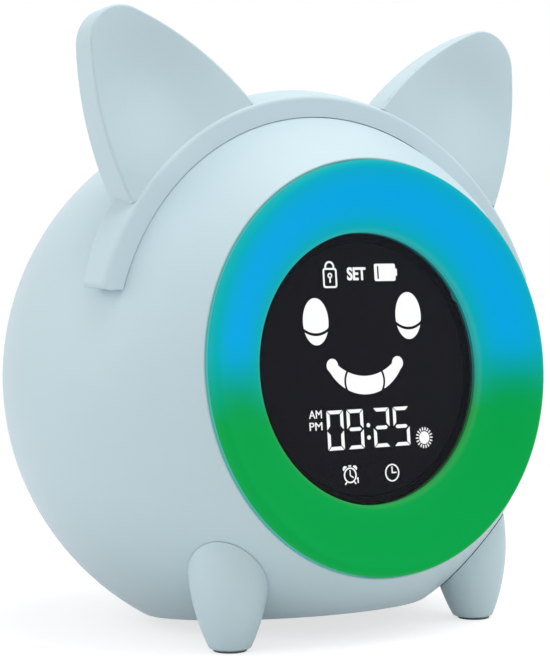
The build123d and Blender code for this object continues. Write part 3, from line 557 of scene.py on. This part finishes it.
def lettering(word, left, right, low, high, weight=0.0):
    """A word of the display, filling a box; weight thickens its strokes."""
    bpy.ops.object.select_all(action="DESELECT")
    bpy.ops.object.text_add()
    piece = bpy.context.object
    piece.data.body = word
    piece.data.extrude = mark_depth / 2
    piece.data.offset = weight
    bpy.ops.object.convert(target="MESH")
    corners = [Vector(corner) for corner in piece.bound_box]
    wide = max(corner.x for corner in corners) - min(corner.x for corner in corners)
    tall = max(corner.y for corner in corners) - min(corner.y for corner in corners)
    piece.scale = ((right - left) / wide, (high - low) / tall, 1)
    bpy.ops.object.transform_apply(location=False, rotation=False, scale=True)
    piece.location = (left - min(corner[0] for corner in piece.bound_box),
                      low - min(corner[1] for corner in piece.bound_box), mark_depth / 2)
    bpy.ops.object.transform_apply(location=True, rotation=False, scale=False)
    bpy.ops.object.mode_set(mode="EDIT")
    bpy.ops.mesh.select_all(action="SELECT")
    bpy.ops.mesh.remove_doubles(threshold=weld_reach)
    bpy.ops.object.mode_set(mode="OBJECT")
    return piece


digit_places = (("0", -8.7), ("9", -3.52), ("2", 3.42), ("5", 8.75))
for number, (figure, x) in enumerate(digit_places, start=1):
    digit("mark_digit_" + str(number), figure, x)

colon_x, colon_heights, colon_dot = -0.1, (-11.9, -14.5), 0.9
mark("mark_colon", *[disc(colon_x, y, colon_dot) for y in colon_heights])

half_day_left, half_day_right = -15.3, -12.05
mark("mark_am", lettering("AM", half_day_left, half_day_right, low=-9.85, high=-8.16))
mark("mark_pm", lettering("PM", half_day_left, half_day_right, low=-12.33, high=-10.65))


# ---------------------------------------------------------------------------------------------
# The display's small signs: a lamp beside the time, an alarm and a clock under it, and a lock,
# SET and a battery over the eyes. They are lit segments as the figures are.
def rays(x, y, count, from_middle, length, line, **shape):
    """Short bars that stand round a point like the rays of a sun."""
    turns = [2 * pi * number / count for number in range(count)]
    return [bar(x + from_middle * cos(turn), y + from_middle * sin(turn), length, line, turn, **shape)
            for turn in turns]


def hands(x, y, minute, hour, overlap):
    """A minute hand that points up and an hour hand that points right; each is (reach, line)."""
    minute_reach, minute_line = minute
    hour_reach, hour_line = hour
    return [bar(x, y + (minute_reach - overlap) / 2, minute_line, minute_reach + overlap),
            bar(x + (hour_reach - overlap) / 2, y, hour_reach + overlap, hour_line)]


lamp_x, lamp_y, lamp_core = 14.74, -15.34, 2.7
ray_count, ray_middle, ray_length, ray_line = 18, 1.92, 0.74, 0.25
mark("mark_lamp", disc(lamp_x, lamp_y, lamp_core),
     *rays(lamp_x, lamp_y, ray_count, ray_middle, ray_length, ray_line,
           corner=ray_line / 2 - point_flat, steps=3))

# The alarm has two bells, two feet, a knob and two hands, with a figure 1 beside it.
alarm_x, alarm_y, alarm_width, alarm_line = -5.57, -22.1, 3.3, 0.3
bell_spread, bell_rise, bell_width, bell_gap = 1.25, 1.4, 1.15, 0.25
stand_spread, stand_drop, stand_length, stand_line, stand_corner = 1.2, 1.65, 0.7, 0.28, 0.1
stand_turn = radians(50)
knob_rise, knob_wide, knob_high = 1.95, 0.8, 0.3
alarm_hand_line, alarm_minute_rise, alarm_minute_length = 0.22, 0.5, 1.2
alarm_hour_aside, alarm_hour_drop, alarm_hour_length = 0.42, 0.3, 0.95
alarm_hour_turn = radians(32)
one_x, one_y, one_line, one_high = -3.6, -23.25, 0.24, 1.2
one_flag_aside, one_flag_rise, one_flag_length, one_flag_line = 0.15, 0.45, 0.36, 0.18
one_flag_turn = radians(40)
bells_and_stand = []
for side in (-1, 1):
    bell = disc(alarm_x + side * bell_spread, alarm_y + bell_rise, bell_width)
    bell = cut(bell, cutter(disc, alarm_x, alarm_y, alarm_width + 2 * bell_gap))
    stand = bar(alarm_x + side * stand_spread, alarm_y - stand_drop, stand_length, stand_line,
                turn=-side * stand_turn, corner=stand_corner)
    bells_and_stand += [bell, stand]
mark("mark_alarm", hoop(alarm_x, alarm_y, alarm_width, alarm_line), *bells_and_stand,
     disc(alarm_x, alarm_y + knob_rise, knob_wide, knob_high),
     bar(alarm_x, alarm_y + alarm_minute_rise, alarm_hand_line, alarm_minute_length),
     bar(alarm_x + alarm_hour_aside, alarm_y - alarm_hour_drop, alarm_hour_length, alarm_hand_line,
         turn=-alarm_hour_turn),
     bar(one_x, one_y, one_line, one_high),
     bar(one_x - one_flag_aside, one_y + one_flag_rise, one_flag_length, one_flag_line,
         turn=one_flag_turn))

clock_x, clock_y, clock_width, clock_line = 5.53, -22.26, 3.75, 0.28
mark("mark_clock", hoop(clock_x, clock_y, clock_width, clock_line),
     *hands(clock_x, clock_y, minute=(1.3, 0.26), hour=(1.1, clock_line), overlap=0.1))

lock_x, lock_y, lock_wide, lock_high, lock_line, lock_corner = -7.95, 19.3, 3.6, 4.2, 0.38, 0.6
shackle_rise, shackle_width = 2.3, 2.5
keyhole_rise, keyhole_width, keyhole_line = 0.5, 1.15, 0.28
key_slit_drop, key_slit_wide, key_slit_high = 0.5, 0.34, 1.0
lock_inside = cutter(bar, lock_x, lock_y, lock_wide - 2 * lock_line, lock_high - 2 * lock_line,
                     corner=lock_corner / 2, steps=4)
lock_body = cut(bar(lock_x, lock_y, lock_wide, lock_high, corner=lock_corner, steps=4), lock_inside)
shackle = cut(hoop(lock_x, lock_y + shackle_rise, shackle_width, lock_line),
              cutter(bar, lock_x, lock_y, lock_wide, lock_high))
mark("mark_lock", lock_body, shackle,
     hoop(lock_x, lock_y + keyhole_rise, keyhole_width, keyhole_line),
     bar(lock_x, lock_y - key_slit_drop, key_slit_wide, key_slit_high))

mark("mark_set", lettering("SET", left=-3.45, right=1.45, low=18.72, high=21.52, weight=0.03))

charge_x, charge_y, charge_wide, charge_high, charge_corner = 6.6, 20.35, 5.6, 3.7, 0.4
charge_slit_aside, charge_slit_wide, charge_slit_high = 1.85, 0.45, 2.7
charge_tip_aside, charge_tip_wide, charge_tip_high, charge_tip_corner = 3.0, 0.5, 1.6, 0.12
charge = cut(bar(charge_x, charge_y, charge_wide, charge_high, corner=charge_corner, steps=4),
             cutter(bar, charge_x - charge_slit_aside, charge_y, charge_slit_wide, charge_slit_high))
mark("mark_charge", charge,
     bar(charge_x + charge_tip_aside, charge_y, charge_tip_wide, charge_tip_high,
         corner=charge_tip_corner))


# ---------------------------------------------------------------------------------------------
# The six push buttons on the back: satin ABS caps in the shell's blue, held behind the panel by
# their flanges. Each is pad printed in grey with a plain sign for what it does.
def nodes_named(start):
    """The CAD nodes whose names start alike."""
    return [node for node in frame["nodes"] if node.startswith(start)]


dress(moulded("button_plastic", (0.50, 0.62, 0.68), roughness=0.42), *nodes_named("button_"))
print_material = moulded("pad_print", (0.16, 0.21, 0.24), roughness=0.6)
print_sunk = 0.05 * mm     # under the crown of the cap, so that the ink stands hardly proud


def print_on(button, *pieces):
    """Prints flat pieces on the outer face of a button, upright for someone behind the clock."""
    points = [ball_frame.inverted() @ vertex.co for vertex in frame["nodes"][button].data.vertices]
    lowest = Vector([min(point[axis] for point in points) for axis in range(3)])
    highest = Vector([max(point[axis] for point in points) for axis in range(3)])
    face_middle = (lowest + highest) / 2
    face_middle.y = highest.y - print_sunk
    face = (ball_frame @ Matrix.Translation(face_middle) @ Matrix.Rotation(pi, 4, "Z")
            @ standing_drawing)
    mark(button + "_print", *pieces, face=face, material=print_material, body=button,
         slot="grey_plastic")


ink_line = 0.42
set_dial = 4.2
print_on("button_set", hoop(0, 0, set_dial, ink_line),
         *hands(0, 0, minute=(1.3, ink_line), hour=(1.2, ink_line), overlap=0.2))

sign_length, sign_line = 3.6, 0.6
print_on("button_up", bar(0, 0, sign_length, sign_line), bar(0, 0, sign_line, sign_length))
print_on("button_down", bar(0, 0, sign_length, sign_line))

sun_core, sun_ray_count, sun_ray_middle, sun_ray_length, sun_ray_line = 2.1, 8, 1.85, 0.8, 0.4
print_on("button_light", disc(0, 0, sun_core),
         *rays(0, 0, sun_ray_count, sun_ray_middle, sun_ray_length, sun_ray_line))

ringer_height, ringer_dial = -0.2, 3.4
ringer_bell_spread, ringer_bell_height, ringer_bell_length, ringer_bell_line = 1.6, 1.55, 1.3, 0.5
ringer_bell_turn = radians(42)
ringer_bells = [bar(side * ringer_bell_spread, ringer_bell_height, ringer_bell_length,
                    ringer_bell_line, turn=-side * ringer_bell_turn) for side in (-1, 1)]
print_on("button_alarm", hoop(0, ringer_height, ringer_dial, ink_line),
         *hands(0, ringer_height, minute=(1.05, ink_line), hour=(0.85, ink_line), overlap=0.15),
         *ringer_bells)

note_head = disc(-0.75, -1.25, 1.7, 1.3)
note_stem = bar(-0.1, 0.35, ink_line, 3.2)
note_flag = bar(0.55, 1.55, 1.5, 0.55, turn=-radians(28))
print_on("button_sound", note_head, note_stem, note_flag)


# ---------------------------------------------------------------------------------------------
# The boards: glass fibre with green solder mask, the main one behind the rear panel and the round
# one on the display's cup. The main board carries six push switches with white plungers, black
# chips and lead sockets, and the steel charging socket.
board_green = moulded("board_green", (0.012, 0.11, 0.05), roughness=0.35, coat=0.4)
black_plastic = moulded("black_plastic", (0.012, 0.012, 0.014), roughness=0.5)
white_plastic = moulded("white_plastic", (0.80, 0.80, 0.79), roughness=0.4)
zinc_steel = moulded("zinc_steel", (0.55, 0.55, 0.56), roughness=0.3, metallic=1.0)
dress(board_green, "main_board", "display_board")
dress(black_plastic, "switch_bodies", "board_parts")
dress(white_plastic, *nodes_named("plunger_"))
dress(zinc_steel, "usb_socket")


# ---------------------------------------------------------------------------------------------
# The night light's back: a white trough that throws the light forwards and clamps the ring to the
# shell, and the white annular board in it, with sixteen lamps under pale yellow resin.
dress(white_plastic, "ring_reflector", "led_ring_board")
dress(moulded("lamp_resin", (0.85, 0.78, 0.40), roughness=0.25), "ring_leds")


# ---------------------------------------------------------------------------------------------
# The speaker under the grille: a pressed basket, a cone of coated paper, and a plated magnet cup
# glued on behind. A ring of foam seals it against the panel.
dress(moulded("basket_grey", (0.10, 0.10, 0.11), roughness=0.45), "speaker_frame")
dress(moulded("cone_paper", (0.03, 0.03, 0.032), roughness=0.8, grain_scale=900.0,
              grain_depth=0.1 * mm), "speaker_cone")
dress(moulded("foam", (0.03, 0.03, 0.03), roughness=0.95, grain_scale=1500.0,
              grain_depth=0.2 * mm), "speaker_gasket")
dress(zinc_steel, "speaker_magnet")


# ---------------------------------------------------------------------------------------------
# The battery: a round cell in blue shrink wrap, in a black cradle that is screwed to the shell's
# posts, with plated spring plates at both ends.
dress(moulded("cell_wrap", (0.03, 0.12, 0.30), roughness=0.25, coat=0.5), "battery_cell")
dress(black_plastic, "battery_holder")
dress(zinc_steel, "battery_contacts")


# ---------------------------------------------------------------------------------------------
# The leads inside: three round ones in black PVC from the battery, the speaker and the ring's
# board to the main board, and the display's flat ribbon.
dress(moulded("lead_jacket", (0.02, 0.02, 0.02), roughness=0.45),
      "battery_lead", "speaker_lead", "ring_lead")
dress(moulded("ribbon_film", (0.60, 0.58, 0.52), roughness=0.35), "display_ribbon")


# ---------------------------------------------------------------------------------------------
# The screws: zinc plated steel with cross heads, driven into plain bosses. Four of them show at
# the bottom of the wells in the rear cover.
dress(zinc_steel, "cover_screws", "foot_screws", "ring_screws", "display_screws", "board_screws",
      "holder_screws")


# ---------------------------------------------------------------------------------------------
# The pads: discs of grey rubber let into the soles of the feet and into the flat under the ball,
# so that the clock neither slides nor marks the table.
dress(moulded("pad_rubber", (0.10, 0.105, 0.11), roughness=0.8), "foot_pads", "rear_pads")


bpy.context.scene.view_settings.view_transform = "Standard"
